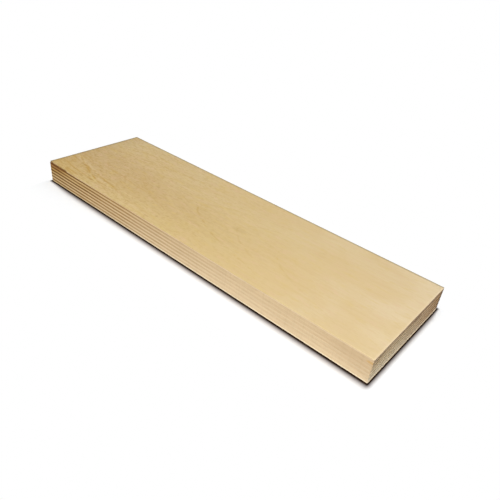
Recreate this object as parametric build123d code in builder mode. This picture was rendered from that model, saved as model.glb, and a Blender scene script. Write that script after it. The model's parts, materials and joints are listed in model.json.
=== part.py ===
"""A short board of birch plywood: thin veneers glued face to face, the grain of each one crossing the next."""

import os

from build123d import *

# Driving dimensions, in millimetres
board_length = 305.0  # along X, the way the grain of the two outer faces runs
board_width = 89.0  # along Y
outer_ply_thickness = 1.05  # face and back veneers, sanded thinner than the plies between them
inner_ply_thickness = 1.4
arris_radius = 0.5  # sanded edges of the outer faces, and the board's upright corners

# The layup: cross plies and long plies take turns between the two outer veneers
cross_ply_count = 6
inner_ply_count = 2 * cross_ply_count - 1
board_thickness = 2 * outer_ply_thickness + inner_ply_count * inner_ply_thickness

os.makedirs("parts", exist_ok=True)

# The back veneer lies on the floor, with every edge eased but those of its glued upper face
with BuildPart() as back_veneer:
    with BuildSketch(Plane.XY):
        Rectangle(board_length, board_width)
    extrude(amount=outer_ply_thickness)
    glued_face = back_veneer.faces().sort_by(Axis.Z).last
    fillet(back_veneer.edges() - glued_face.edges(), arris_radius)
back_veneer.part.label = "back_veneer"
export_step(back_veneer.part, "parts/back_veneer.step")

# The face veneer is the same leaf the other way up, on top of the stack
with BuildPart() as face_veneer:
    with BuildSketch(Plane.XY.offset(board_thickness - outer_ply_thickness)):
        Rectangle(board_length, board_width)
    extrude(amount=outer_ply_thickness)
    glued_face = face_veneer.faces().sort_by(Axis.Z).first
    fillet(face_veneer.edges() - glued_face.edges(), arris_radius)
face_veneer.part.label = "face_veneer"
export_step(face_veneer.part, "parts/face_veneer.step")

# The inner plies, counted down from the face veneer; each kind has numbers of its own
for place in range(inner_ply_count):
    grain = "long" if place % 2 else "cross"
    name = f"{grain}_ply_{place // 2 + 1}"
    underside = board_thickness - outer_ply_thickness - (place + 1) * inner_ply_thickness
    with BuildPart() as inner_ply:
        with BuildSketch(Plane.XY.offset(underside)):
            Rectangle(board_length, board_width)
        extrude(amount=inner_ply_thickness)
        fillet(inner_ply.edges().filter_by(Axis.Z), arris_radius)
    inner_ply.part.label = name
    export_step(inner_ply.part, f"parts/{name}.step")
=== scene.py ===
"""Dresses a short board of birch plywood: its sawn and sanded plies, their finishes and a plain studio."""

import json
import logging
import math
from dataclasses import dataclass, field
from enum import Enum
from typing import Optional, Union

import bmesh
import bpy
import numpy as np
from mathutils import Matrix, Vector


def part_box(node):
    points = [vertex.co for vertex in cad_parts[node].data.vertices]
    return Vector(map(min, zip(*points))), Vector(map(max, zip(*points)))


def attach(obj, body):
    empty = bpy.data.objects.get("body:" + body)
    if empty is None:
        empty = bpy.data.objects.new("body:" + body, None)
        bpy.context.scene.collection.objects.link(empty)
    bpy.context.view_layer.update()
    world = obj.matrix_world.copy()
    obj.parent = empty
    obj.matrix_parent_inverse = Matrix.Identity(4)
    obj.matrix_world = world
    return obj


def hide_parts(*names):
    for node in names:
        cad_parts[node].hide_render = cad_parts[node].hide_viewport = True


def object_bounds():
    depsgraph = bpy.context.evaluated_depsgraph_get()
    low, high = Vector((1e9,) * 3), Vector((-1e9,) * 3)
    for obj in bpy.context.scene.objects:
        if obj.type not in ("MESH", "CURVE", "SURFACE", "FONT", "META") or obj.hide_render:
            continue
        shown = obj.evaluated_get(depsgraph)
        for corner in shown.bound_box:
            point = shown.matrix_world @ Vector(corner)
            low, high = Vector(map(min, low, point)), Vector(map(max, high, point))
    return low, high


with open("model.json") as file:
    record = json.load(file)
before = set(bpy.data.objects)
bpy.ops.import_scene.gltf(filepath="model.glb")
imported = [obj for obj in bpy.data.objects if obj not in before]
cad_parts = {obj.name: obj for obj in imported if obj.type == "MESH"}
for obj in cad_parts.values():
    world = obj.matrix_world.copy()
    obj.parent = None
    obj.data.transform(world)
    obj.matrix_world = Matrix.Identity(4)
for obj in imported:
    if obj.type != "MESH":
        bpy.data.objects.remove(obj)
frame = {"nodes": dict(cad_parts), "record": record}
CAD_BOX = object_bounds()

MM = 0.001
BODY = "root"
WHITE = (1.0, 1.0, 1.0, 1.0)
QUARTER_TURN = math.pi / 2
NOISE_MEAN = 0.5
MID_PLY = 0.5
# How far up a ply the rows of points on its sawn edge lie, closest together at the glue lines.
WALL_SHARES = (0.0, 0.06, 0.2, 0.4, 0.6, 0.8, 0.94, 1.0)
# A Mix node has sockets for every kind of data. These are the share, the two colours and the mixed colour.
MIX_INPUTS = (0, 6, 7)
MIX_RESULT = 2

Colour = tuple[float, float, float, float]
Triple = tuple[float, float, float]
Span = tuple[float, float]
Socket = bpy.types.NodeSocket
Tree = bpy.types.NodeTree
Material = bpy.types.Material
Feed = Union[Socket, float, tuple]

log = logging.getLogger("plywood_board")


def srgb(red: int, green: int, blue: int) -> Colour:
    """Turns a screen colour into the linear colour that shaders take.

    Args:
        red: red, 0 to 255.
        green: green, 0 to 255.
        blue: blue, 0 to 255.

    Returns:
        The linear colour, fully opaque.
    """
    top, toe, slope, offset, power = 255, 0.04045, 12.92, 0.055, 2.4
    shares = [value / top for value in (red, green, blue)]
    linear = [s / slope if s <= toe else ((s + offset) / (1 + offset)) ** power for s in shares]
    return (*linear, 1.0)


def placed(name: str, data: bpy.types.ID) -> bpy.types.Object:
    """Makes an object and puts it in the scene.

    Args:
        name: the object's name.
        data: its mesh, lamp or lens.

    Returns:
        The object.
    """
    obj = bpy.data.objects.new(name, data)
    bpy.context.scene.collection.objects.link(obj)
    return obj


class Grain(Enum):
    """Which way a ply's fibres run."""

    ALONG = "along"
    ACROSS = "across"


class Place(Enum):
    """Where a ply lies in the stack."""

    FACE = "face"
    INNER = "inner"
    BACK = "back"


class Surface(Enum):
    """The three kinds of surface that a ply shows, in the order of its material slots."""

    BROAD = 0
    LONG_EDGE = 1
    END_EDGE = 2


class Mark(Enum):
    """What a ply's points carry for its finishes to read."""

    DEPTH = "ply_depth"
    TORN = "torn"
    TONE_AND_BOUNCE = "ply_tone"
    # Painted highlight on the arris at the top of the +X end and along the foot.
    PAINTED_HIGHLIGHT = "rubbed_arris"
    # Painted shade along the far side and the -X end of a broad face.
    PAINTED_ARRIS_SHADE = "grimy_arris"


class Effect(Enum):
    """What the wood lays over a face's colour, by the group output that carries it."""

    TINT = "Tint"
    STREAK = "Streak"
    FIGURE = "Figure"
    MOTTLE = "Mottle"
    RING = "Ring"
    FLECK = "Fleck"


@dataclass(frozen=True)
class Cloud:
    """A kind of cloudy noise: how many clouds there are to a metre each way, and how they break up."""

    per_metre: Triple
    detail: float = 3.0
    roughness: float = 0.5
    swirl: float = 0.0


class Nodes:
    """Adds nodes to one shader tree and joins them."""

    def __init__(self, tree: Tree) -> None:
        """Takes over a tree and empties it."""
        self.tree = tree
        tree.nodes.clear()

    def add(self, kind: str, **settings: object) -> bpy.types.Node:
        """Makes a node.

        Args:
            kind: the node's type name.
            settings: properties to set on it.

        Returns:
            The new node.
        """
        node = self.tree.nodes.new(kind)
        for name, value in settings.items():
            setattr(node, name, value)
        return node

    def feed(self, socket: Socket, value: Feed) -> None:
        """Links a socket to another, or sets its own value.

        Args:
            socket: the input.
            value: an output to link, or a plain value.
        """
        if isinstance(value, Socket):
            self.tree.links.new(value, socket)
        else:
            socket.default_value = value

    def fed(self, kind: str, *values: Feed, **settings: object) -> bpy.types.NodeOutputs:
        """Makes a node and feeds its inputs in order.

        Args:
            kind: the node's type name.
            values: what its inputs get.
            settings: properties to set on it.

        Returns:
            The node's outputs.
        """
        node = self.add(kind, **settings)
        for socket, value in zip(node.inputs, values):
            self.feed(socket, value)
        return node.outputs

    def filled(self, node: bpy.types.Node, **values: Feed) -> bpy.types.NodeOutputs:
        """Feeds a node's inputs by name.

        Args:
            node: the node.
            values: what each input gets, with spaces in its name written as underscores.

        Returns:
            The node's outputs.
        """
        for name, value in values.items():
            self.feed(node.inputs[name.replace("_", " ")], value)
        return node.outputs

    def math(self, operation: str, *values: Feed, clamp: bool = False) -> Socket:
        """Joins values by arithmetic, and holds the result between 0 and 1 if it is to be clamped."""
        return self.fed("ShaderNodeMath", *values, operation=operation, use_clamp=clamp)[0]

    def plus(self, first: Feed, second: Feed) -> Socket:
        """Adds two values."""
        return self.math("ADD", first, second)

    def less(self, first: Feed, second: Feed) -> Socket:
        """Takes the second value from the first."""
        return self.math("SUBTRACT", first, second)

    def times(self, first: Feed, second: Feed) -> Socket:
        """Multiplies two values."""
        return self.math("MULTIPLY", first, second)

    def vector(self, operation: str, *vectors: Feed) -> Socket:
        """Joins vectors, part by part."""
        return self.fed("ShaderNodeVectorMath", *vectors, operation=operation)[0]

    def length(self, vector: Feed) -> Socket:
        """Measures a vector."""
        return self.fed("ShaderNodeVectorMath", vector, operation="LENGTH")["Value"]

    def split(self, vector: Feed) -> tuple[Socket, ...]:
        """Takes a vector apart into its X, Y and Z."""
        return tuple(self.fed("ShaderNodeSeparateXYZ", vector))

    def joined(self, *parts: Feed) -> Socket:
        """Makes a vector from its X, Y and Z."""
        return self.fed("ShaderNodeCombineXYZ", *parts)[0]

    def place(self) -> Socket:
        """Reads where a surface is, in the object's own frame."""
        return self.add("ShaderNodeTexCoord").outputs["Object"]

    def mark(self, mark: Mark) -> Socket:
        """Reads a value that the mesh carries at its points."""
        return self.add("ShaderNodeAttribute", attribute_name=mark.value).outputs["Fac"]

    def noise(self, vector: Feed, cloud: Cloud) -> Socket:
        """Makes cloudy noise.

        Args:
            vector: where it is read, in metres.
            cloud: the kind of noise.

        Returns:
            A value that varies round one half.
        """
        node = self.add("ShaderNodeTexNoise")
        spread = self.vector("MULTIPLY", vector, cloud.per_metre)
        grades = {"Detail": cloud.detail, "Roughness": cloud.roughness, "Distortion": cloud.swirl}
        return self.filled(node, Vector=spread, Scale=1.0, **grades)["Fac"]

    def ranged(
        self, value: Feed, low: Feed, high: Feed,
        to_low: Feed = 0.0, to_high: Feed = 1.0, smooth: bool = True,
    ) -> Socket:
        """Carries a value from one range to another and stops it at the ends.

        Args:
            value: what is carried over.
            low: the start of its range.
            high: the end of its range.
            to_low: what the start becomes.
            to_high: what the end becomes.
            smooth: whether it eases in and out.

        Returns:
            The value in its new range.
        """
        easing = "SMOOTHSTEP" if smooth else "LINEAR"
        ends = (low, high, to_low, to_high)
        return self.fed("ShaderNodeMapRange", value, *ends, interpolation_type=easing)[0]

    def blended(self, share: Feed, first: Feed, second: Feed) -> Socket:
        """Mixes two colours.

        Args:
            share: how much of the second shows.
            first: the colour underneath.
            second: the colour on top.

        Returns:
            The mixed colour.
        """
        node = self.add("ShaderNodeMix", data_type="RGBA")
        for number, value in zip(MIX_INPUTS, (share, first, second)):
            self.feed(node.inputs[number], value)
        return node.outputs[MIX_RESULT]

    def graded(self, share: Feed, first: Feed, middle: Feed, last: Feed) -> Socket:
        """Runs from one colour through a second, half way, to a third."""
        begun = self.blended(self.ranged(share, 0.0, 0.5, smooth=False), first, middle)
        return self.blended(self.ranged(share, 0.5, 1.0, smooth=False), begun, last)

    def relief(self, height: Feed, depth: float, share: float) -> Socket:
        """Turns a height into the normal of relief that is so many metres deep and shows by a share."""
        node = self.add("ShaderNodeBump")
        return self.filled(node, Height=height, Distance=depth, Strength=share)["Normal"]

    def group(self, tree: Tree, **values: Feed) -> dict[str, Socket]:
        """Places a node group, feeds its inputs by name and gives its outputs by name."""
        node = self.add("ShaderNodeGroup", node_tree=tree)
        return {socket.name: socket for socket in self.filled(node, **values)}

    def seen(self) -> Socket:
        """Tells rays that show a surface, also mirrored or through glass, from rays that light others.

        Returns:
            1 for a ray that shows the surface, otherwise 0.
        """
        path = self.add("ShaderNodeLightPath").outputs
        shown = self.math("MAXIMUM", path["Is Camera Ray"], path["Is Glossy Ray"])
        return self.math("MAXIMUM", shown, path["Is Transmission Ray"])

    def principled(self, **values: Feed) -> Socket:
        """Makes a Principled shader and feeds its inputs by name."""
        return self.filled(self.add("ShaderNodeBsdfPrincipled"), **values)["BSDF"]

    def show(self, shader: Socket, output: str = "ShaderNodeOutputMaterial") -> None:
        """Puts a shader on the tree's output."""
        self.fed(output, shader)


class GroupSheet(Nodes):
    """A shader node group with named sockets."""

    def __init__(
        self, name: str, vectors: tuple[str, ...], values: tuple[str, ...], results: tuple[str, ...]
    ) -> None:
        """Makes an empty group.

        Args:
            name: the group's name.
            vectors: the names of its input vectors.
            values: the names of its input values.
            results: the names of its output values.
        """
        super().__init__(bpy.data.node_groups.new(name, "ShaderNodeTree"))
        rows = (
            ("INPUT", "NodeSocketVector", vectors),
            ("INPUT", "NodeSocketFloat", values),
            ("OUTPUT", "NodeSocketFloat", results),
        )
        for way, kind, sockets in rows:
            for socket in sockets:
                self.tree.interface.new_socket(socket, in_out=way, socket_type=kind)
        self.given = self.add("NodeGroupInput").outputs
        self.result = self.add("NodeGroupOutput")

    def put(self, **values: Feed) -> Tree:
        """Feeds the group's outputs by name and gives the finished group."""
        self.filled(self.result, **values)
        return self.tree


@dataclass(frozen=True)
class GrowthRing:
    """One dark line of the face's figure: an arch that opens towards +X, with its two arms' strengths.

    curl says how long and narrow the arch is, and end where along the board it has faded out.
    apex and end are in millimetres.
    """

    apex: float
    curl: float
    near: float
    far: float
    end: float


@dataclass(frozen=True)
class Patch:
    """A patch of another colour on a surface, longer one way than another. Some are marks in the wood's own
    colour, some painted shade. Its places are in millimetres.
    """

    centre: Triple
    reach: Triple
    colour: Colour
    strength: float


@dataclass(frozen=True)
class Layer:
    """One effect of the wood laid over its colour.

    quiet is the share of it that is left on the face's plain half, and far the share on its far side.
    """

    effect: Effect
    low: float
    high: float
    share: float
    colour: Colour
    quiet: float = 0.35
    far: float = 1.0


@dataclass
class WoodGroups:
    """The effects that the birch finishes share: fibres, figure, cut fibre ends, saw marks with painted
    shade along the cut, and soft patches.
    """

    streaks: Cloud = Cloud((0.035, 1.0, 1.0), 5.0, 0.62)
    mottling: Cloud = Cloud((330.0, 820.0, 820.0), 3.0, 0.65)
    tinting: Cloud = Cloud((90.0, 280.0, 280.0), 3.0, 0.65)
    specks: Cloud = Cloud((120.0, 700.0, 700.0), 1.0, 0.4)
    crowding: Cloud = Cloud((38.0, 38.0, 38.0), 2.0)
    crowd_span: Span = (0.35, 0.7)
    fleck_gate: float = 0.86
    fleck_blur: float = 0.09
    fuzz: Cloud = Cloud((60.0, 5200.0, 5200.0), 2.0)
    streak_relief: float = 0.6
    rings: tuple[GrowthRing, ...] = (
        GrowthRing(-372, 140.0, 0.7, 0.0, -105),
        GrowthRing(-345, 140.0, 0.8, 0.0, -100),
        GrowthRing(-319, 134.0, 0.8, 0.0, -90),
        GrowthRing(-280, 138.0, 0.8, 0.0, -80),
        GrowthRing(-268, 800.0, 0.6, 0.0, -40),
        GrowthRing(-262, 420.0, 0.4, 0.2, -30),
        GrowthRing(-255, 160.0, 0.6, 0.0, -100),
        GrowthRing(-236, 180.0, 1.0, 0.2, -55),
        GrowthRing(-205, 100.0, 0.5, 0.4, -60),
        GrowthRing(-166, 61.0, 1.0, 0.6, -70),
        GrowthRing(-160, 144.0, 0.2, 0.6, 5),
        GrowthRing(-128, 92.0, 0.4, 0.4, -45),
        GrowthRing(-82, 92.0, 0.4, 0.4, 0),
        GrowthRing(-20, 85.0, 0.7, 0.5, 75),
        GrowthRing(20, 80.0, 0.45, 0.45, 75),
        GrowthRing(57, 66.0, 0.45, 0.4, 140),
    )
    ring_width: float = 1.35 * MM
    ring_fade: float = 35 * MM
    apex_blend: float = 3 * MM
    ring_breaks: Cloud = Cloud((150.0, 430.0, 430.0), 3.0, 0.6)
    break_span: Span = (0.4, 0.56)
    wandering: Cloud = Cloud((11.0, 34.0, 34.0), 3.0, 0.55)
    wander_reach: float = 12 * MM
    bands: Cloud = Cloud((30.0, 2.0, 1.0), 3.0, 0.6)
    end_clouds: Cloud = Cloud((260.0, 260.0, 900.0), 4.0, 0.65)
    pores: Cloud = Cloud((4200.0, 4200.0, 4200.0), 2.0)
    pore_span: Span = (0.56, 0.7)
    pore_relief: float = 0.7
    # Patchy painted shade along a sawn edge, deepest towards one end.
    shade_patches: Cloud = Cloud((28.0, 28.0, 420.0), 3.0, 0.55)
    shade_patch_span: Span = (0.25, 0.75)
    shade_patch_shares: Span = (0.85, 1.3)
    saw_lines: Cloud = Cloud((900.0, 900.0, 14.0), 2.0)
    ragging: Cloud = Cloud((80.0, 500.0, 1100.0), 3.0, 0.6)
    patch_span: Span = (0.3, 1.0)
    fibre: Tree = field(init=False)
    figure: Tree = field(init=False)
    end_grain: Tree = field(init=False)
    sawn: Tree = field(init=False)
    patch: Tree = field(init=False)

    def build(self) -> "WoodGroups":
        """Makes every group once.

        Returns:
            This set.
        """
        self.fibre = self._fibre()
        self.figure = self._figure()
        self.end_grain = self._end_grain()
        self.sawn = self._sawn()
        self.patch = self._patch()
        return self

    def _fibre(self) -> Tree:
        """Long fibres: streaks, mottling, short dark flecks and a fine relief.

        Returns:
            The group, on a vector whose X runs with the grain.
        """
        results = ("Streak", "Mottle", "Tint", "Fleck", "Height")
        sheet = GroupSheet("birch_fibre", ("Vector",), ("Coarse", "Fleck Share"), results)
        vector, coarse, share = (sheet.given[name] for name in ("Vector", "Coarse", "Fleck Share"))
        streak = sheet.noise(sheet.vector("MULTIPLY", vector, coarse), self.streaks)
        mottle = sheet.noise(vector, self.mottling)
        tint = sheet.noise(vector, self.tinting)
        crowd = sheet.ranged(sheet.noise(vector, self.crowding), *self.crowd_span)
        gate = sheet.less(self.fleck_gate, sheet.times(share, crowd))
        fleck = sheet.ranged(sheet.noise(vector, self.specks), gate, sheet.plus(gate, self.fleck_blur))
        raised = sheet.plus(sheet.noise(vector, self.fuzz), sheet.times(streak, self.streak_relief))
        height = sheet.less(raised, fleck)
        return sheet.put(Streak=streak, Mottle=mottle, Tint=tint, Fleck=fleck, Height=height)

    def _figure(self) -> Tree:
        """The nested arches that growth rings leave on a veneer peeled from the log.

        Returns:
            The group: soft bands, and the thin broken lines of the late wood.
        """
        sheet = GroupSheet("peeled_figure", ("Vector",), ("Axis", "Curl"), ("Figure", "Ring"))
        vector = sheet.given["Vector"]
        x, y, _ = sheet.split(vector)
        wander = sheet.less(sheet.noise(vector, self.wandering), NOISE_MEAN)
        side = sheet.plus(sheet.less(y, sheet.given["Axis"]), sheet.times(wander, self.wander_reach))
        squared = sheet.times(side, side)
        arch = sheet.less(x, sheet.times(squared, sheet.given["Curl"]))
        lines = 0.0
        for ring in self.rings:
            lines = sheet.math("MAXIMUM", lines, self._ring(sheet, ring, x, side, squared))
        whole = sheet.ranged(sheet.noise(vector, self.ring_breaks), *self.break_span)
        bands = sheet.noise(sheet.joined(arch, y, 0.0), self.bands)
        return sheet.put(Figure=bands, Ring=sheet.times(lines, whole))

    def _ring(self, sheet: GroupSheet, ring: GrowthRing, x: Socket, side: Socket, squared: Socket) -> Socket:
        """Draws one growth ring.

        Args:
            sheet: the figure's group.
            ring: the ring.
            x: the place along the board.
            side: the place beside the figure's axis.
            squared: the square of that.

        Returns:
            How strongly the ring shows.
        """
        end = ring.end * MM
        ahead = sheet.less(sheet.less(x, sheet.times(squared, ring.curl)), ring.apex * MM)
        lean = sheet.times(side, 2.0 * ring.curl)
        steep = sheet.math("SQRT", sheet.plus(sheet.times(lean, lean), 1.0))
        gap = sheet.math("DIVIDE", sheet.math("ABSOLUTE", ahead), steep)
        strength = sheet.ranged(side, -self.apex_blend, self.apex_blend, ring.near, ring.far)
        shown = sheet.times(strength, sheet.ranged(x, end - self.ring_fade, end, 1.0, 0.0))
        return sheet.ranged(gap, 0.0, self.ring_width, shown, 0.0)

    def _end_grain(self) -> Tree:
        """Cut fibre ends: pores, cloudy patches and a rough relief.

        Returns:
            The group.
        """
        sheet = GroupSheet("birch_end_grain", ("Vector",), (), ("Tone", "Pore", "Height"))
        vector = sheet.given["Vector"]
        tone = sheet.noise(vector, self.end_clouds)
        pore = sheet.ranged(sheet.noise(vector, self.pores), *self.pore_span)
        return sheet.put(Tone=tone, Pore=pore, Height=sheet.less(tone, sheet.times(pore, self.pore_relief)))

    def _sawn(self) -> Tree:
        """What the saw and the glue leave on an edge, and painted shade along it.

        Returns:
            The group: painted shade that fades along the cut, glue lines and saw lines.
        """
        values = ("Depth", "Run", "Start", "End", "Power", "Glue Share")
        sheet = GroupSheet("sawn_edge", ("Vector",), values, ("Scorch", "Glue", "Kerf"))
        given = sheet.given
        fade = sheet.ranged(given["Run"], given["Start"], given["End"], 1.0, 0.0, smooth=False)
        cloud = sheet.noise(given["Vector"], self.shade_patches)
        patchy = sheet.ranged(cloud, *self.shade_patch_span, *self.shade_patch_shares)
        shading = sheet.math("MULTIPLY", sheet.math("POWER", fade, given["Power"]), patchy, clamp=True)
        off_middle = sheet.math("ABSOLUTE", sheet.less(given["Depth"], MID_PLY))
        glue = sheet.ranged(off_middle, sheet.less(MID_PLY, given["Glue Share"]), MID_PLY)
        return sheet.put(Scorch=shading, Glue=glue, Kerf=sheet.noise(given["Vector"], self.saw_lines))

    def _patch(self) -> Tree:
        """A soft ragged patch round a point.

        Returns:
            The group.
        """
        names = ("Vector", "Centre", "Reach")
        sheet = GroupSheet("patch_mask", names, (), ("Mask",))
        vector, centre, reach = (sheet.given[name] for name in names)
        off = sheet.vector("DIVIDE", sheet.vector("SUBTRACT", vector, centre), reach)
        away = sheet.plus(sheet.length(off), sheet.less(sheet.noise(vector, self.ragging), NOISE_MEAN))
        return sheet.put(Mask=sheet.ranged(away, *self.patch_span, 1.0, 0.0))


def patched_over(
    nodes: Nodes, groups: WoodGroups, place: Socket, colour: Socket, patches: tuple[Patch, ...]
) -> Socket:
    """Lays patches of other colours over a surface.

    Args:
        nodes: the material's nodes.
        groups: the shared wood effects.
        place: where the surface is read.
        colour: its colour so far.
        patches: the patches.

    Returns:
        The colour with the patches on it.
    """
    for patch in patches:
        centre, reach = (tuple(part * MM for part in spot) for spot in (patch.centre, patch.reach))
        mask = nodes.group(groups.patch, Vector=place, Centre=centre, Reach=reach)["Mask"]
        colour = nodes.blended(nodes.times(mask, patch.strength), colour, patch.colour)
    return colour


def new_material(name: str) -> tuple[Material, Nodes]:
    """Starts a material.

    Args:
        name: the material's name.

    Returns:
        The material and its nodes.
    """
    made = bpy.data.materials.new(name)
    made.use_nodes = True
    return made, Nodes(made.node_tree)


@dataclass(frozen=True)
class FaceFinish:
    """Bare peeled birch veneer, sanded smooth: broad washes of colour with the wood's figure over them."""

    name: str
    pale: Colour = srgb(224, 202, 163)
    honey: Colour = srgb(209, 183, 124)
    blush: Colour = srgb(214, 186, 132)
    # Painted highlight: the pale colour on the arris at the +X end and along the foot.
    arris_highlight: Colour = srgb(248, 226, 190)
    # Painted light towards the +X end, and painted shade towards the -X end.
    glow: Colour = srgb(250, 236, 200)
    far_end_shade: Colour = srgb(150, 118, 60)
    # Painted shade: the dark colour along the far side and the -X end of a broad face.
    arris_shade: Colour = srgb(106, 90, 44)
    layers: tuple[Layer, ...] = (
        Layer(Effect.TINT, 0.5, 0.75, 0.45, srgb(222, 186, 150), quiet=0.7),
        Layer(Effect.TINT, 0.5, 0.25, 0.6, srgb(214, 185, 106), quiet=0.45),
        Layer(Effect.STREAK, 0.42, 0.8, 0.36, srgb(200, 163, 98)),
        Layer(Effect.FIGURE, 0.5, 0.25, 0.4, srgb(228, 206, 156), quiet=0.1, far=0.3),
        Layer(Effect.FIGURE, 0.4, 0.75, 0.25, srgb(200, 163, 98)),
        Layer(Effect.MOTTLE, 0.45, 0.72, 0.85, srgb(184, 144, 70), quiet=0.1, far=0.7),
        Layer(Effect.RING, 0.0, 1.0, 0.95, srgb(190, 149, 64), quiet=0.4),
        Layer(Effect.FLECK, 0.0, 1.0, 0.55, srgb(170, 128, 58), quiet=0.05, far=0.4),
    )
    streaks_per_metre: float = 520.0
    fleck_share: float = 0.26
    axis: float = -2 * MM
    curl: float = 92.0
    figure_along: Span = (-150 * MM, 90 * MM)
    figure_across: Span = (-12 * MM, 8 * MM)
    toning: Cloud = Cloud((14.0, 34.0, 30.0))
    tone_wander: float = 80 * MM
    tone_span: Span = (5 * MM, 185 * MM)
    back_tone: float = 0.35
    warming: Cloud = Cloud((19.0, 27.0, 30.0), 2.0, 0.5, 0.6)
    warm_span: Span = (0.42, 0.66)
    warm_share: float = 0.6
    # Where the painted light starts towards the +X end and the painted shade towards the -X end, and how
    # strong each is.
    lit_end_start: float = 128 * MM
    lit_end_share: float = 0.1
    far_end_shade_start: float = -134 * MM
    far_end_shade_share: float = 0.2
    arris_highlight_share: float = 0.7
    arris_shade_share: float = 0.9
    streak_span: Span = (0.2, 0.8)
    roughness: Span = (0.5, 0.66)
    relief_depth: float = 0.02 * MM
    relief_share: float = 0.35
    washes: tuple[Patch, ...] = ()
    flecks: tuple[Patch, ...] = ()

    def material(self, groups: WoodGroups) -> Material:
        """Builds the finish.

        Args:
            groups: the shared wood effects.

        Returns:
            The material.
        """
        made, nodes = new_material(self.name)
        place = nodes.place()
        x, y, _ = nodes.split(place)
        fibre = nodes.group(
            groups.fibre, Vector=place, Coarse=self.streaks_per_metre, Fleck_Share=self.fleck_share
        )
        effects = {**fibre, **nodes.group(groups.figure, Vector=place, Axis=self.axis, Curl=self.curl)}
        colour = patched_over(nodes, groups, place, self._ground(nodes, place, x, y), self.washes)
        for layer in self.layers:
            share = nodes.ranged(effects[layer.effect.value], layer.low, layer.high, 0.0, layer.share)
            along = nodes.ranged(x, *self.figure_along, 1.0, layer.quiet)
            across = nodes.ranged(y, *self.figure_across, 1.0, layer.far)
            colour = nodes.blended(nodes.times(nodes.times(share, along), across), colour, layer.colour)
        colour = patched_over(nodes, groups, place, colour, self.flecks)
        # Painted highlight on the arris.
        colour = nodes.blended(nodes.times(nodes.mark(Mark.PAINTED_HIGHLIGHT), self.arris_highlight_share), colour, self.arris_highlight)
        # Painted shade along the far side and the -X end.
        colour = nodes.blended(nodes.times(nodes.mark(Mark.PAINTED_ARRIS_SHADE), self.arris_shade_share), colour, self.arris_shade)
        rough = nodes.ranged(fibre["Streak"], *self.streak_span, *self.roughness)
        normal = nodes.relief(fibre["Height"], self.relief_depth, self.relief_share)
        nodes.show(nodes.principled(Base_Color=colour, Roughness=rough, Normal=normal))
        return made

    def _ground(self, nodes: Nodes, place: Socket, x: Socket, y: Socket) -> Socket:
        """The veneer's colour before its figure: honey at one end, pale at the other, with warmer clouds and
        painted light and shade at the ends.

        Args:
            nodes: the material's nodes.
            place: where the surface is read.
            x: its X.
            y: its Y.

        Returns:
            The colour.
        """
        low, high = CAD_BOX
        wander = nodes.less(nodes.noise(place, self.toning), NOISE_MEAN)
        run = nodes.plus(x, nodes.times(wander, self.tone_wander))
        least = nodes.ranged(y, low.y, high.y, 0.0, self.back_tone)
        ground = nodes.blended(nodes.ranged(run, *self.tone_span, least, 1.0), self.honey, self.pale)
        warmth = nodes.ranged(nodes.noise(place, self.warming), *self.warm_span, 0.0, self.warm_share)
        warmed = nodes.blended(warmth, ground, self.blush)
        # Painted light brightens the +X end; painted shade darkens the -X end.
        end_painted_light = nodes.ranged(x, self.lit_end_start, high.x, 0.0, self.lit_end_share)
        end_painted_shade = nodes.ranged(x, self.far_end_shade_start, low.x, 0.0, self.far_end_shade_share)
        return nodes.blended(end_painted_shade, nodes.blended(end_painted_light, warmed, self.glow), self.far_end_shade)


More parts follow.
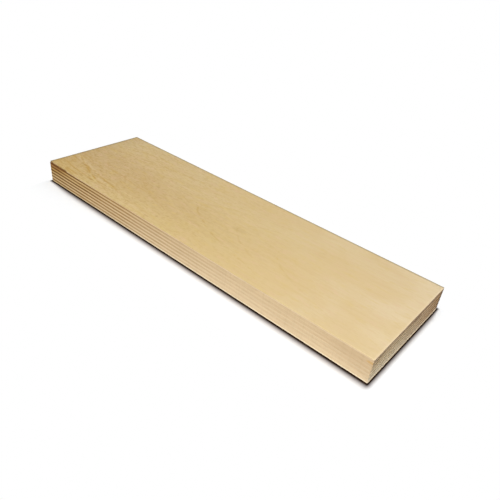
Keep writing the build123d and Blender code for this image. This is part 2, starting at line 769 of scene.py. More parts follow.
@dataclass(frozen=True)
class EdgeFinish:
    """A sawn edge of birch, with its fibres lying in the edge or cut through."""

    name: str
    grain: Grain
    surface: Surface
    pale: Colour
    tan: Colour
    # The edge's colours in half and in full painted shade. It deepens towards the -X end of a long edge and
    # the far side of an end.
    half_shade: Colour
    full_shade: Colour
    pore: Colour = srgb(150, 112, 58)
    torn: Colour = srgb(130, 88, 34)
    glue: Colour = srgb(116, 84, 32)
    # Painted highlight: the pale colour along the foot and the top of the +X end.
    arris_highlight: Colour = srgb(255, 237, 208)
    start: float = -152 * MM
    end: float = 70 * MM
    fade_power: float = 1.3
    least_shade: float = 0.35
    glue_share: float = 0.07
    film_shares: Span = (0.12, 0.4)
    kerf_span: Span = (0.45, 0.75)
    kerf_share: float = 0.08
    shaded_kerf: float = 0.25
    kerf_relief: float = 0.8
    speckle: float = 0.25
    end_tone_span: Span = (0.35, 0.75)
    end_roughness: Span = (0.72, 0.9)
    streaks_per_metre: float = 1500.0
    streak_span: Span = (0.4, 0.8)
    streak_roughness: Span = (0.6, 0.76)
    fleck_share: float = 0.12
    fleck_strength: float = 0.4
    rough_span: Span = (0.2, 0.8)
    arris_highlight_share: float = 0.9
    torn_share: float = 0.85
    shine: float = 0.25
    relief_depth: float = 0.04 * MM
    relief_share: float = 0.5
    patches: tuple[Patch, ...] = ()

    @property
    def shows_fibre_ends(self) -> bool:
        """Whether the saw cut across the fibres here."""
        return (self.grain is Grain.ALONG) == (self.surface is Surface.END_EDGE)

    def material(self, groups: WoodGroups) -> Material:
        """Builds the finish.

        Args:
            groups: the shared wood effects.

        Returns:
            The material.
        """
        made, nodes = new_material(self.name)
        place = nodes.place()
        x, y, _ = nodes.split(place)
        run = x if self.surface is Surface.LONG_EDGE else nodes.times(y, -1.0)
        sawn = nodes.group(
            groups.sawn, Vector=place, Depth=nodes.mark(Mark.DEPTH), Run=run,
            Start=self.start, End=self.end, Power=self.fade_power, Glue_Share=self.glue_share,
        )
        coloured, height, rough = self._grained(nodes, groups, place, self._shaded_ground(nodes, sawn))
        film = nodes.times(sawn["Glue"], nodes.ranged(sawn["Scorch"], 0.0, 1.0, *self.film_shares))
        glued = nodes.blended(film, coloured, self.glue)
        patched = patched_over(nodes, groups, place, glued, self.patches)
        # Painted highlight along the foot and the top of the +X end.
        highlighted = nodes.blended(nodes.times(nodes.mark(Mark.PAINTED_HIGHLIGHT), self.arris_highlight_share), patched, self.arris_highlight)
        finished = nodes.blended(nodes.times(nodes.mark(Mark.TORN), self.torn_share), highlighted, self.torn)
        raised = nodes.plus(height, nodes.times(sawn["Kerf"], self.kerf_relief))
        normal = nodes.relief(raised, self.relief_depth, self.relief_share)
        shader = nodes.principled(
            Base_Color=finished, Roughness=rough, Specular_IOR_Level=self.shine, Normal=normal
        )
        nodes.show(shader)
        return made

    def _shaded_ground(self, nodes: Nodes, sawn: dict[str, Socket]) -> Socket:
        """The edge's colour before its grain: bare wood in painted shade that deepens towards one end of the
        cut, lined by the saw.

        Args:
            nodes: the material's nodes.
            sawn: what the saw left.

        Returns:
            The colour.
        """
        # The tone carries painted bounce light as well as the ply's own tone: lower plies are paler.
        tone = nodes.mark(Mark.TONE_AND_BOUNCE)
        bare = nodes.blended(tone, self.pale, self.tan)
        taken = nodes.ranged(tone, 0.0, 1.0, self.least_shade, 1.0)
        # Painted shade, deepest towards one end of the cut.
        shade_share = nodes.math("MULTIPLY", sawn["Scorch"], taken, clamp=True)
        shaded = nodes.graded(shade_share, bare, self.half_shade, self.full_shade)
        least = self.shaded_kerf * self.kerf_share
        share = nodes.ranged(shade_share, 0.0, 1.0, self.kerf_share, least, smooth=False)
        return nodes.blended(nodes.ranged(sawn["Kerf"], *self.kerf_span, 0.0, share), shaded, self.pore)

    def _grained(
        self, nodes: Nodes, groups: WoodGroups, place: Socket, ground: Socket
    ) -> tuple[Socket, Socket, Socket]:
        """Lays the grain over the edge's colour: pores where fibres are cut, otherwise streaks and flecks.

        Args:
            nodes: the material's nodes.
            groups: the shared wood effects.
            place: where the surface is read.
            ground: the colour before the grain.

        Returns:
            The colour, the relief's height and the roughness.
        """
        if self.shows_fibre_ends:
            grain = nodes.group(groups.end_grain, Vector=place)
            tone, spots, strength = grain["Tone"], grain["Pore"], self.speckle
            span, roughness = self.end_tone_span, self.end_roughness
        else:
            x, y, z = nodes.split(place)
            vector = place if self.grain is Grain.ALONG else nodes.joined(y, x, z)
            grain = nodes.group(
                groups.fibre, Vector=vector, Coarse=self.streaks_per_metre, Fleck_Share=self.fleck_share
            )
            tone, spots, strength = grain["Streak"], grain["Fleck"], self.fleck_strength
            span, roughness = self.streak_span, self.streak_roughness
        clouded = nodes.blended(nodes.ranged(tone, *span, 0.0, self.speckle), ground, self.pore)
        spotted = nodes.blended(nodes.times(spots, strength), clouded, self.pore)
        return spotted, grain["Height"], nodes.ranged(tone, *self.rough_span, *roughness)


@dataclass(frozen=True)
class Ripple:
    """A smooth seeded wave over the board, made of a few crossing sines. Its wavelengths are in metres."""

    seed: int
    shortest: float
    longest: float
    count: int = 7

    def at(self, points: np.ndarray, number: int = 0) -> np.ndarray:
        """Reads the wave.

        Args:
            points: the places, one row of X and Y each.
            number: which of the waves that differ only by their seed.

        Returns:
            A value round 0 at each place, mostly between -1 and 1.
        """
        chance = np.random.default_rng(self.seed + number)
        lengths = np.exp(chance.uniform(math.log(self.shortest), math.log(self.longest), self.count))
        angles = chance.uniform(0, math.tau, self.count)
        waves = np.stack([np.cos(angles), np.sin(angles)], 1) * (math.tau / lengths)[:, None]
        phases = chance.uniform(0, math.tau, self.count)
        return np.sin(points @ waves.T + phases).mean(1) * math.sqrt(self.count / 2)

    def share(self, points: np.ndarray, number: int = 0) -> np.ndarray:
        """Reads the wave as a share round one half."""
        return 0.5 + 0.5 * self.at(points, number)


@dataclass
class Outline:
    """The board's outline, walked anticlockwise from above in small steps, with its corners rounded."""

    half_length: float
    half_width: float
    radius: float
    step: float
    corner_steps: int = 4
    spine: np.ndarray = field(init=False)
    normal: np.ndarray = field(init=False)
    surface: np.ndarray = field(init=False)
    columns: int = field(init=False)
    rows: int = field(init=False)

    def __post_init__(self) -> None:
        """Works out where each point's rounding is centred, which way it faces and its kind of surface."""
        flat_x, flat_y = self.half_length - self.radius, self.half_width - self.radius
        self.columns = round(2 * flat_x / self.step)
        self.rows = round(2 * flat_y / self.step)
        corners = ((flat_x, -flat_y), (flat_x, flat_y), (-flat_x, flat_y), (-flat_x, -flat_y))
        counts = (self.columns, self.rows, self.columns, self.rows)
        kinds = (Surface.LONG_EDGE, Surface.END_EDGE, Surface.LONG_EDGE, Surface.END_EDGE)
        spine, normal, surface = [], [], []
        for side in range(len(corners)):
            start, finish = np.array(corners[side - 1]), np.array(corners[side])
            facing = QUARTER_TURN * (side - 1)
            for share in np.linspace(0, 1, counts[side] + 1):
                spine.append(start + (finish - start) * share)
                normal.append((math.cos(facing), math.sin(facing)))
                surface.append(kinds[side].value)
            for turn in range(1, self.corner_steps):
                angle = facing + QUARTER_TURN * turn / self.corner_steps
                spine.append(finish)
                normal.append((math.cos(angle), math.sin(angle)))
                ahead = turn >= self.corner_steps / 2
                surface.append(kinds[(side + ahead) % len(kinds)].value)
        self.spine = np.array(spine)
        self.normal = np.array(normal)
        self.surface = np.array(surface)

    @property
    def edge(self) -> np.ndarray:
        """The outline's own points."""
        return self.spine + self.normal * self.radius


@dataclass
class Tear:
    """A splinter off the face veneer's near long edge beside a corner, with darker fibres behind it."""

    reach: float = 25.0 * MM
    bite: float = 0.75 * MM
    pull_depth: float = 3.0 * MM
    stain_depth: float = 1.1 * MM
    end_share: float = 0.1
    depth: float = 0.8
    depth_swing: float = 0.25
    ripple: Ripple = Ripple(41, 1.2 * MM, 6 * MM)

    def at(self, points: np.ndarray, outline: Outline) -> np.ndarray:
        """Says how badly the edge is torn beside each point.

        Args:
            points: the ply's points.
            outline: the board's outline.

        Returns:
            0 beside a whole edge, up to 1 beside a torn one.
        """
        from_corner = points[:, 0] + outline.half_length
        fade = np.clip((self.reach - from_corner) / (self.end_share * self.reach), 0, 1)
        along = np.column_stack([from_corner, np.zeros_like(from_corner)])
        return fade * np.clip(self.depth + self.depth_swing * self.ripple.at(along), 0, 1)

    def pulled(self, points: np.ndarray, outline: Outline) -> np.ndarray:
        """Draws the edge in where it is torn.

        Args:
            points: the ply's points.
            outline: the board's outline.

        Returns:
            The points, moved.
        """
        share = np.clip(1 - (points[:, 1] + outline.half_width) / self.pull_depth, 0, 1) ** 2
        moved = points.copy()
        moved[:, 1] += self.bite * self.at(points, outline) * share
        return moved

    def mark(self, points: np.ndarray, outline: Outline) -> np.ndarray:
        """Says how much torn fibre shows at each of the ply's points, before they are drawn in."""
        share = np.clip(1 - (points[:, 1] + outline.half_width) / self.stain_depth, 0, 1)
        return self.at(points, outline) * share


@dataclass
class Hoop:
    """One closed row of points round a ply, how far up the ply it lies, and whether it is on an arris."""

    points: np.ndarray
    depth: float
    rounded: bool = False


@dataclass
class Ply:
    """One veneer of the stack, as a mesh with sawn edges, and sanded where it shows a broad face."""

    node: str
    grain: Grain
    place: Place
    number: int
    low: Vector
    high: Vector
    arris: float
    slot: str
    step: float
    tone: float
    tear: Optional[Tear] = None
    setback: float = 0.05 * MM
    end_setback: float = 0.4 * MM
    lying_share: float = 0.2
    setback_swing: float = 0.5
    setback_ripple: Ripple = Ripple(200, 2 * MM, 18 * MM)
    most_inset: float = 0.9
    groove: float = 0.05 * MM
    groove_power: int = 8
    saw_depth: float = 0.02 * MM
    saw_ripple: Ripple = Ripple(7, 1.8 * MM, 5 * MM)
    glue_wave: float = 0.07 * MM
    glue_ripple: Ripple = Ripple(100, 9 * MM, 60 * MM)
    glue_margin: float = 3.0 * MM
    arris_steps: int = 5
    arris_swing: float = 0.12
    arris_ripple: Ripple = Ripple(70, 6 * MM, 50 * MM)
    foot_arris_share: float = 0.2
    sanding_depth: float = 0.035 * MM
    sanding_ripple: Ripple = Ripple(300, 2.2 * MM, 12 * MM, 9)
    sanding_stretch: float = 0.04
    sanding_margin: float = 2 * MM
    # How far the painted highlight reaches from each arris.
    highlight_depth: float = 0.9 * MM
    foot_highlight_depth: float = 0.9 * MM
    end_highlight_depth: float = 2.0 * MM
    foot_highlight_start: float = -110 * MM
    foot_highlight_end: float = -20 * MM
    foot_highlight_steepness: float = 2.0
    # How far the painted shade reaches in from the -X end and from the far side.
    arris_shade_depths: Span = (2.8 * MM, 2.0 * MM)
    weld: float = 0.0001 * MM
    sharp_angle: float = 50.0
    outline: Outline = field(init=False)
    obj: bpy.types.Object = field(init=False)

    def build(self) -> "Ply":
        """Makes the ply's mesh and seats it on the board.

        Returns:
            This ply.
        """
        self.outline = Outline(self.high.x, self.high.y, self.arris, self.step)
        hoops = self._wall()
        if self.place is not Place.BACK:
            hoops.insert(0, Hoop(self._glue_cap(upper=False), 0.0))
        if self.place is not Place.FACE:
            hoops.append(Hoop(self._glue_cap(upper=True), 1.0))
        self.obj = placed(f"{self.node}_dressed", self._mesh(hoops))
        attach(self.obj, BODY)
        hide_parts(self.node)
        return self

    def _glue_line(self, upper: bool) -> np.ndarray:
        """The height of a glue line at each point of the outline, a little wavy as veneers are.

        Args:
            upper: whether it is the one above this ply.

        Returns:
            The heights.
        """
        line = self.number if upper else self.number + 1
        nominal = self.high.z if upper else self.low.z
        return nominal + self.glue_wave * self.glue_ripple.at(self.outline.edge, line)

    def _glue_cap(self, upper: bool) -> np.ndarray:
        """A ring inside the glue line, where the ply's glued face is flat.

        Args:
            upper: whether it is the one above this ply.

        Returns:
            The ring's points.
        """
        shrink = 1 - self.glue_margin / np.array([self.outline.half_length, self.outline.half_width])
        height = np.full(len(self.outline.edge), self.high.z if upper else self.low.z)
        return np.column_stack([self.outline.edge * shrink, height])

    def _wall(self) -> list[Hoop]:
        """The sawn edge from the lower glue line to the upper one, with the sanded arris of an outer ply.

        Returns:
            The hoops from the bottom up.
        """
        outline = self.outline
        low, high = self._glue_line(upper=False), self._glue_line(upper=True)
        arris = self.arris * (1 + self.arris_swing * self.arris_ripple.at(outline.edge, self.number))
        hoops = []
        if self.place is Place.BACK:
            low = self.low.z + arris * self.foot_arris_share
            hoops += self._rounding(arris, self.low.z, upper=False)
        if self.place is Place.FACE:
            high = self.high.z - arris
        for share in WALL_SHARES:
            flat = outline.spine + outline.normal * (self.arris - self._inset(share))[:, None]
            hoops.append(Hoop(np.column_stack([flat, low + (high - low) * share]), share))
        if self.place is Place.FACE:
            hoops += self._rounding(arris, self.high.z, upper=True)
        return hoops

    def _rounding(self, arris: np.ndarray, face: float, upper: bool) -> list[Hoop]:
        """The rounding between the sawn edge and a broad face.

        Args:
            arris: the rounding's radius at each point.
            face: the height of the broad face.
            upper: whether that face is on top.

        Returns:
            The hoops from the bottom up, without the one where the sawn edge starts.
        """
        spine, normal = self.outline.spine, self.outline.normal
        size = 1.0 if upper else self.foot_arris_share
        hoops = []
        for turn in range(1, self.arris_steps + 1):
            angle = QUARTER_TURN * turn / self.arris_steps
            out = self.arris * (1 - size + size * math.cos(angle))
            rise = arris * size * (1 - math.sin(angle))
            height = face - rise if upper else face + rise
            hoops.append(Hoop(np.column_stack([spine + normal * out, height]), MID_PLY, True))
        if upper:
            return hoops
        flat = np.column_stack([spine, np.full(len(spine), face)])
        return [Hoop(flat, MID_PLY, True), *hoops[::-1]]

    def _inset(self, share: float) -> np.ndarray:
        """How far the sawn edge stands back from the board's outline.

        Args:
            share: how far up the ply.

        Returns:
            The distance at each point.
        """
        edge = self.outline.edge
        on_end = self.outline.surface == Surface.END_EDGE.value
        cut_through = on_end if self.grain is Grain.ALONG else ~on_end
        depth = np.where(on_end, self.end_setback, self.setback)
        back = np.where(cut_through, depth, self.lying_share * self.setback)
        back = back * (1 + self.setback_swing * self.setback_ripple.at(edge, self.number))
        seam = self.groove * abs(2 * share - 1) ** self.groove_power
        saw = self.saw_depth * self.saw_ripple.share(edge)
        return np.clip(back + seam + saw, 0, self.most_inset * self.arris)

    def _mesh(self, hoops: list[Hoop]) -> bpy.types.Mesh:
        """Skins the hoops and closes both ends.

        Args:
            hoops: the hoops from the bottom up.

        Returns:
            The mesh.
        """
        around = len(self.outline.edge)
        points = np.concatenate([hoop.points for hoop in hoops])
        depth = np.repeat([hoop.depth for hoop in hoops], around)
        here = np.arange(around)
        ahead = (here + 1) % around
        quads, kinds = [], []
        for level, (hoop, above) in enumerate(zip(hoops, hoops[1:])):
            base, top = level * around, (level + 1) * around
            quads.append(np.column_stack([base + here, base + ahead, top + ahead, top + here]))
            on_arris = hoop.rounded or above.rounded
            kinds.append(np.full(around, Surface.BROAD.value) if on_arris else self.outline.surface)
        broad = []
        if self.place is not Place.BACK:
            broad.append(here[::-1].tolist())
        if self.place is not Place.FACE:
            broad.append((here + (len(hoops) - 1) * around).tolist())
        if self.place is not Place.INNER:
            grid, cells = self._broad_grid(len(points))
            points = np.concatenate([points, grid])
            depth = np.concatenate([depth, np.full(len(grid), MID_PLY)])
            broad += cells.tolist()
        faces = np.concatenate(quads).tolist() + broad
        slots = np.concatenate(kinds).tolist() + [Surface.BROAD.value] * len(broad)
        marks = {Mark.DEPTH: depth, **self._marks(points)}
        if self.tear:
            points = self.tear.pulled(points, self.outline)
        return self._finished(points, faces, slots, marks)

    def _marks(self, points: np.ndarray) -> dict[Mark, np.ndarray]:
        """What the finishes read at the ply's points.

        Args:
            points: the points, before a tear draws them in.

        Returns:
            The ply's tone with painted bounce light, its torn fibre, how much painted highlight its arris
            takes, and how much painted shade its broad face takes along the far side and the -X end.
        """
        from_end, from_side = self.outline.half_length + points[:, 0], self.outline.half_width - points[:, 1]
        end_depth, side_depth = self.arris_shade_depths
        inside = np.minimum(from_end / end_depth, from_side / side_depth)
        return {
            Mark.TONE_AND_BOUNCE: np.full(len(points), self.tone),
            Mark.TORN: self.tear.mark(points, self.outline) if self.tear else np.zeros(len(points)),
            Mark.PAINTED_HIGHLIGHT: self._painted_highlight(points),
            Mark.PAINTED_ARRIS_SHADE: np.clip(1 - inside, 0, 1),
        }

    def _painted_highlight(self, points: np.ndarray) -> np.ndarray:
        """How much painted highlight an arris takes: the face's at the +X end, the foot's there and on the
        near side.

        Args:
            points: the ply's points, before a tear draws them in.

        Returns:
            A share at each point.
        """
        x, y, z = points.T
        from_end = self.outline.half_length - x
        if self.place is Place.FACE:
            return np.clip(1 - np.hypot(from_end, self.high.z - z) / self.highlight_depth, 0, 1)
        from_side = self.outline.half_width + y
        depth = np.where(from_end < from_side, self.end_highlight_depth, self.foot_highlight_depth)
        share = np.clip((x - self.foot_highlight_start) / (self.foot_highlight_end - self.foot_highlight_start), 0, 1)
        away = np.hypot(np.minimum(from_end, from_side), z - CAD_BOX[0].z)
        return share * np.clip(self.foot_highlight_steepness * (1 - away / depth), 0, 1)

    def _broad_grid(self, first: int) -> tuple[np.ndarray, np.ndarray]:
        """The sanded face between the arrises, with the faint lengthwise relief that sanding leaves.

        Args:
            first: the index of the grid's first point.

        Returns:
            The grid's points and its cells.
        """
        columns, rows = self.outline.columns, self.outline.rows
        flat_x, flat_y = self.outline.half_length - self.arris, self.outline.half_width - self.arris
        xs, ys = np.linspace(-flat_x, flat_x, columns + 1), np.linspace(-flat_y, flat_y, rows + 1)
        grid_x, grid_y = (axis.ravel() for axis in np.meshgrid(xs, ys, indexing="ij"))
        lengthwise = np.column_stack([grid_x * self.sanding_stretch, grid_y])
        relief = np.clip(self.sanding_ripple.share(lengthwise, self.number), 0, 1)
        from_edge = np.minimum(flat_x - np.abs(grid_x), flat_y - np.abs(grid_y))
        sunk = self.sanding_depth * relief * np.clip(from_edge / self.sanding_margin, 0, 1)
        upper = self.place is Place.FACE
        height = self.high.z - sunk if upper else self.low.z + sunk
        column, row = (axis.ravel() for axis in np.mgrid[0:columns, 0:rows])
        corner = first + column * (rows + 1) + row
        cells = np.column_stack([corner, corner + rows + 1, corner + rows + 2, corner + 1])
        return np.column_stack([grid_x, grid_y, height]), cells if upper else cells[:, ::-1]

    def _finished(
        self, points: np.ndarray, faces: list[list[int]], slots: list[int], marks: dict[Mark, np.ndarray]
    ) -> bpy.types.Mesh:
        """Makes the mesh, welds where its parts meet and smooths it.

        Args:
            points: its points.
            faces: its faces.
            slots: the material slot of each face.
            marks: what its points carry.

        Returns:
            The mesh.
        """
        mesh = bpy.data.meshes.new(f"{self.node}_dressed")
        mesh.from_pydata(points.tolist(), [], faces)
        mesh.polygons.foreach_set("material_index", slots)
        for mark, values in marks.items():
            mesh.attributes.new(mark.value, "FLOAT", "POINT").data.foreach_set("value", values)
        shape = bmesh.new()
        shape.from_mesh(mesh)
        bmesh.ops.remove_doubles(shape, verts=shape.verts, dist=self.weld)
        shape.to_mesh(mesh)
        shape.free()
        mesh.polygons.foreach_set("use_smooth", [True] * len(mesh.polygons))
        mesh.set_sharp_from_angle(angle=math.radians(self.sharp_angle))
        mesh.update()
        return mesh

    def dress(self, broad: Material, long_edge: Material, end_edge: Material) -> None:
        """Gives the ply the finishes of its broad faces, its long sawn edges and its short ones."""
        for made in (broad, long_edge, end_edge):
            self.obj.data.materials.append(made)


@dataclass
class Board:
    """The stack of plies. Each ply's tone says how tan it is, from the top down: partly its own, partly
    painted light that makes the lower plies paler, as light bounced up from the floor would.
    """

    arris: float = 0.5 * MM
    face_step: float = 0.8 * MM
    inner_step: float = 0.5 * MM
    # Partly each ply's own tone, partly painted light: lower plies paler, as if lit from the floor.
    tones_and_bounce_light: tuple[float, ...] = (0.0, 0.9, 0.95, 1.0, 0.75, 0.9, 0.5, 0.75, 0.35, 0.6, 0.2, 0.2, 0.0)
    plies: list[Ply] = field(default_factory=list)

    def build(self) -> "Board":
        """Makes every ply from the top down.

        Returns:
            This board.
        """
        slots = {part["node"]: part["material_slot"] for part in frame["record"]["subparts"]}
        by_height = sorted(frame["nodes"], key=lambda name: -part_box(name)[0].z)
        for number, (node, tone) in enumerate(zip(by_height, self.tones_and_bounce_light, strict=True)):
            low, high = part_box(node)
            place = {0: Place.FACE, len(by_height) - 1: Place.BACK}.get(number, Place.INNER)
            grain = Grain.ALONG if number % 2 == 0 else Grain.ACROSS
            step = self.inner_step if place is Place.INNER else self.face_step
            tear = Tear() if place is Place.FACE else None
            ply = Ply(node, grain, place, number, low, high, self.arris, slots[node], step, tone, tear)
            self.plies.append(ply.build())
        return self

    @staticmethod
    def _faces(groups: WoodGroups) -> dict[Place, Material]:
        """Makes the finishes of the two outer faces.

        Args:
            groups: the shared wood effects.

        Returns:
            The finishes by place.
        """
        fleck = srgb(178, 136, 62)
        top, deep = 17.5, 9
        washes = (
            Patch((-150, -13, top), (230, 34, deep), srgb(196, 165, 116), 0.6),
            Patch((-155, -44, top), (60, 24, deep), srgb(202, 168, 96), 0.5),
        )
        flecks = (
            Patch((-14, -3, top), (7, 4, deep), fleck, 0.12),
            Patch((22, -5, top), (8, 4, deep), fleck, 0.12),
            Patch((-146, -2.5, top), (4, 1.6, deep), fleck, 0.45),
            Patch((-100, -31, top), (17, 1.1, deep), fleck, 0.3),
            Patch((-152.5, -44.5, top), (4, 3, deep), srgb(74, 56, 32), 0.7),
        )
        finishes = {
            Place.FACE: FaceFinish("sanded_face", washes=washes, flecks=flecks),
            Place.BACK: FaceFinish("sanded_back", axis=21 * MM, curl=70.0),
        }
        return {place: finish.material(groups) for place, finish in finishes.items()}

    @staticmethod
    def _edges(groups: WoodGroups) -> dict[tuple[Grain, Surface], Material]:
        """Makes the finishes of the sawn edges.

        Args:
            groups: the shared wood effects.

        Returns:
            The finishes by grain and surface.
        """
        russet = Patch((-149, -44.5, 14.2), (26, 2, 2.4), srgb(126, 66, 36), 0.42)
        # Painted shade on the near long side towards the +X end.
        near_end_shade = Patch((152, -44.5, 13), (46, 2, 12), srgb(192, 160, 122), 0.28)
        resin = Patch((151, -44.5, 14.2), (3.6, 1.5, 2.0), srgb(206, 160, 86), 0.6)
        crown = Patch((152.5, 0, 17.5), (3, 150, 3.6), srgb(122, 78, 50), 0.56)
        # Painted shade at the near top corner of the +X end.
        near_top_shade = Patch((152.5, -40, 15), (3, 13, 6), srgb(128, 98, 64), 0.2)
        knot = Patch((152.5, 6.8, 14.2), (2, 10, 2.2), srgb(104, 62, 36), 0.5)
        # Painted shade: a dark line down the far upright of the +X end.
        corner = Patch((152.5, 44.5, 9), (3, 4.2, 36), srgb(84, 54, 34), 0.7)
        on_end = {
            "start": -52 * MM, "end": 16 * MM, "least_shade": 0.8, "speckle": 0.4, "kerf_share": 0.3,
            "arris_highlight": srgb(255, 246, 234), "patches": (crown, near_top_shade, knot, corner),
        }
        finishes = (
            EdgeFinish(
                "long_edge_side_grain", Grain.ALONG, Surface.LONG_EDGE,
                srgb(233, 210, 172), srgb(221, 194, 152), srgb(216, 186, 128), srgb(196, 154, 68),
                end=10 * MM, fade_power=2.3, least_shade=0.32, patches=(russet, near_end_shade, resin),
            ),
            EdgeFinish(
                "long_edge_end_grain", Grain.ACROSS, Surface.LONG_EDGE,
                srgb(236, 211, 172), srgb(220, 192, 152), srgb(172, 129, 70), srgb(110, 60, 2),
                end=62 * MM, fade_power=1.45, least_shade=0.68, speckle=0.18, patches=(russet, near_end_shade),
            ),
            EdgeFinish(
                "end_edge_end_grain", Grain.ALONG, Surface.END_EDGE,
                srgb(239, 228, 202), srgb(186, 161, 130), srgb(114, 78, 48), srgb(60, 30, 14), **on_end,
            ),
            EdgeFinish(
                "end_edge_side_grain", Grain.ACROSS, Surface.END_EDGE,
                srgb(247, 235, 206), srgb(208, 186, 149), srgb(218, 187, 147), srgb(200, 158, 108), **on_end,
            ),
        )
        return {(finish.grain, finish.surface): finish.material(groups) for finish in finishes}

    def dress(self, groups: WoodGroups) -> "Board":
        """Gives every ply its finishes.

        Args:
            groups: the shared wood effects.

        Returns:
            This board.
        """
        faces, edges = self._faces(groups), self._edges(groups)
        for ply in self.plies:
            long_edge, end_edge = (edges[ply.grain, side] for side in (Surface.LONG_EDGE, Surface.END_EDGE))
            ply.dress(faces.get(ply.place, long_edge), long_edge, end_edge)
        return self


@dataclass(frozen=True)
class PaperFinish:
    """White paper, dark where the board keeps the light off it."""

    name: str = "white_paper"
    white: Colour = (0.92, 0.945, 0.965, 1.0)
    dusk: Colour = (0.47, 0.445, 0.45, 1.0)
    shade: Colour = (0.02, 0.01, 0.006, 1.0)
    lift: float = 0.14
    side_shade: float = 7.8 * MM
    end_shade: Span = (1.0 * MM, 4.5 * MM)
    contact_share: float = 0.145
    corner_share: float = 0.5
    side_taper: float = 32 * MM
    end_taper: float = 14 * MM
    far_shadow_share: float = 0.1
    shadow_reach: float = 26 * MM

    def material(self) -> Material:
        """Builds the finish.

        Returns:
            The material.
        """
        made, nodes = new_material(self.name)
        x, y, _ = nodes.split(nodes.place())
        out_x, out_y = (
            nodes.math("MAXIMUM", nodes.less(nodes.math("ABSOLUTE", way), half), 0.0)
            for way, half in zip((x, y), CAD_BOX[1])
        )
        lit = self._lit(nodes, x, y, out_x, out_y)
        away = self._away(nodes, x, y, out_x, out_y)
        seen = nodes.seen()
        colour = nodes.graded(nodes.times(nodes.less(1.0, lit), seen), self.white, self.dusk, self.shade)
        glow = nodes.times(nodes.times(lit, seen), self.lift)
        paper = nodes.principled(
            Base_Color=colour, Roughness=1.0, Specular_IOR_Level=0.0,
            Emission_Color=WHITE, Emission_Strength=glow,
        )
        plain = nodes.add("ShaderNodeEmission").outputs[0]
        nodes.show(nodes.fed("ShaderNodeMixShader", nodes.times(away, seen), paper, plain)[0])
        return made

    def _lit(self, nodes: Nodes, x: Socket, y: Socket, out_x: Socket, out_y: Socket) -> Socket:
        """How much light reaches the paper beside the board.

        Args:
            nodes: the material's nodes.
            x: the place along the board.
            y: the place across it.
            out_x: how far beyond its ends.
            out_y: how far beyond its long sides.

        Returns:
            0 against the board, up to 1 where its shade ends, sooner at the -X end and the far side.
        """
        low, high = CAD_BOX
        share_x = nodes.math("DIVIDE", out_x, nodes.ranged(x, low.x, high.x, *self.end_shade, smooth=False))
        share_y = nodes.math("DIVIDE", out_y, self.side_shade)
        share = nodes.length(nodes.joined(share_x, share_y, 0.0))
        by_side = nodes.ranged(x, low.x, low.x + self.side_taper, self.corner_share, 1.0)
        by_end = nodes.ranged(y, high.y, high.y - self.end_taper, self.corner_share, 1.0)
        reach = nodes.math("MINIMUM", by_side, by_end)
        angle = nodes.ranged(share, self.contact_share, reach, 0.0, QUARTER_TURN, smooth=False)
        return nodes.math("SINE", angle)

    def _away(self, nodes: Nodes, x: Socket, y: Socket, out_x: Socket, out_y: Socket) -> Socket:
        """How far the paper is from the board, whose shadow is cut short at the back and the -X end.

        Args:
            nodes: the material's nodes.
            x: the place along the board.
            y: the place across it.
            out_x: how far beyond its ends.
            out_y: how far beyond its long sides.

        Returns:
            0 against the board, up to 1 where the paper is plain white.
        """
        high = CAD_BOX[1]
        short = 1 / self.far_shadow_share
        far_x = nodes.times(out_x, nodes.ranged(x, -high.x, 0.0, short, 1.0))
        far_y = nodes.times(out_y, nodes.ranged(y, 0.0, high.y, 1.0, short))
        return nodes.ranged(nodes.length(nodes.joined(far_x, far_y, 0.0)), 0.0, self.shadow_reach)


@dataclass(frozen=True)
class Softbox:
    """A square studio lamp."""

    name: str
    place: Triple
    aim: Triple
    size: float
    watts: float

    def build(self) -> None:
        """Hangs the lamp and turns it to its aim."""
        lamp = bpy.data.lights.new(self.name, "AREA")
        lamp.shape = "SQUARE"
        lamp.size = self.size
        lamp.energy = self.watts
        obj = placed(self.name, lamp)
        obj.location = self.place
        obj.rotation_euler = (Vector(self.aim) - Vector(self.place)).to_track_quat("-Z", "Y").to_euler()


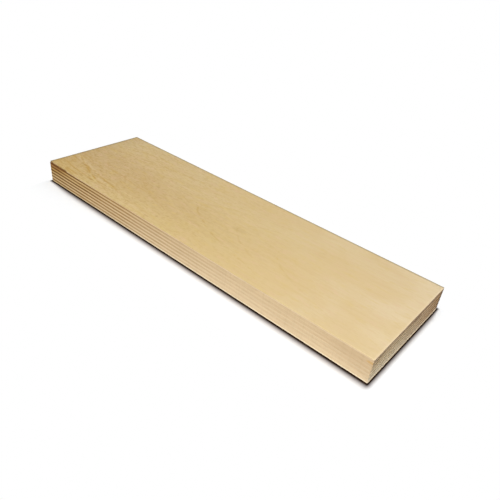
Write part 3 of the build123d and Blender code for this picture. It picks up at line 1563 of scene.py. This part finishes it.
@dataclass(frozen=True)
class Viewpoint:
    """The camera, given by where it looks, from which side and how far away, and how it is tilted."""

    aim: Triple = (27.42 * MM, 3.3 * MM, 0.0)
    azimuth: float = 37.768
    elevation: float = 33.786
    roll: float = 6.288
    distance: float = 360.9 * MM
    focal_share: float = 1.0022
    sensor: float = 36.0
    nearest: float = 10 * MM

    def build(self) -> None:
        """Sets up the scene's camera."""
        side, lift, lean = (math.radians(a) for a in (self.azimuth, self.elevation, self.roll))
        back = Vector((math.sin(side) * math.cos(lift), -math.cos(side) * math.cos(lift), math.sin(lift)))
        right = Vector((math.cos(side), math.sin(side), 0))
        turned = Matrix((right, back.cross(right), back)).transposed() @ Matrix.Rotation(lean, 3, "Z")
        lens = bpy.data.cameras.new("camera")
        lens.sensor_width = self.sensor
        lens.lens = self.sensor * self.focal_share
        lens.clip_start = self.nearest
        obj = placed("camera", lens)
        obj.matrix_world = Matrix.Translation(Vector(self.aim) + back * self.distance) @ turned.to_4x4()
        bpy.context.scene.camera = obj


@dataclass
class Studio:
    """A white floor, soft lamps and the camera."""

    floor_half: float = 6.0
    floor_drop: float = 0.05 * MM
    paper: PaperFinish = PaperFinish()
    sky_strength: float = 0.24
    lamps: tuple[Softbox, ...] = (
        Softbox("key_softbox", (0.2, -0.34, 0.56), (0.05, 0.0, 0.0), 0.4, 3.6),
        Softbox("top_softbox", (0.0, 0.15, 0.8), (0.0, 0.0, 0.0), 0.7, 1.1),
    )
    viewpoint: Viewpoint = Viewpoint()

    def build(self) -> None:
        """Sets up the floor, the sky, the lamps and the camera."""
        self._floor()
        self._sky()
        for lamp in self.lamps:
            lamp.build()
        self.viewpoint.build()
        bpy.context.scene.view_settings.view_transform = "Standard"

    def _floor(self) -> None:
        """Lays the floor: it takes the board's shadow, and turns plain white a little way off."""
        reach = self.floor_half
        mesh = bpy.data.meshes.new("floor")
        corners = [(-reach, -reach, 0), (reach, -reach, 0), (reach, reach, 0), (-reach, reach, 0)]
        mesh.from_pydata(corners, [], [(0, 1, 2, 3)])
        floor = placed("floor", mesh)
        floor.location.z = -self.floor_drop
        mesh.materials.append(self.paper.material())

    def _sky(self) -> None:
        """Fills the room with even light, and with plain white behind the board."""
        world = bpy.data.worlds.new("studio")
        bpy.context.scene.world = world
        world.use_nodes = True
        nodes = Nodes(world.node_tree)
        strength = nodes.ranged(nodes.seen(), 0.0, 1.0, self.sky_strength, 1.0, smooth=False)
        nodes.show(nodes.fed("ShaderNodeBackground", WHITE, strength)[0], "ShaderNodeOutputWorld")


def main() -> None:
    """Builds the board, dresses it, reports its pieces and sets up the studio."""
    logging.basicConfig(level=logging.INFO, format="%(name)s: %(message)s")
    groups = WoodGroups().build()
    board = Board().build().dress(groups)
    for ply in board.plies:
        log.info("%s: %d faces", ply.obj.name, len(ply.obj.data.polygons))
    Studio().build()


if __name__ == "__main__":
    main()
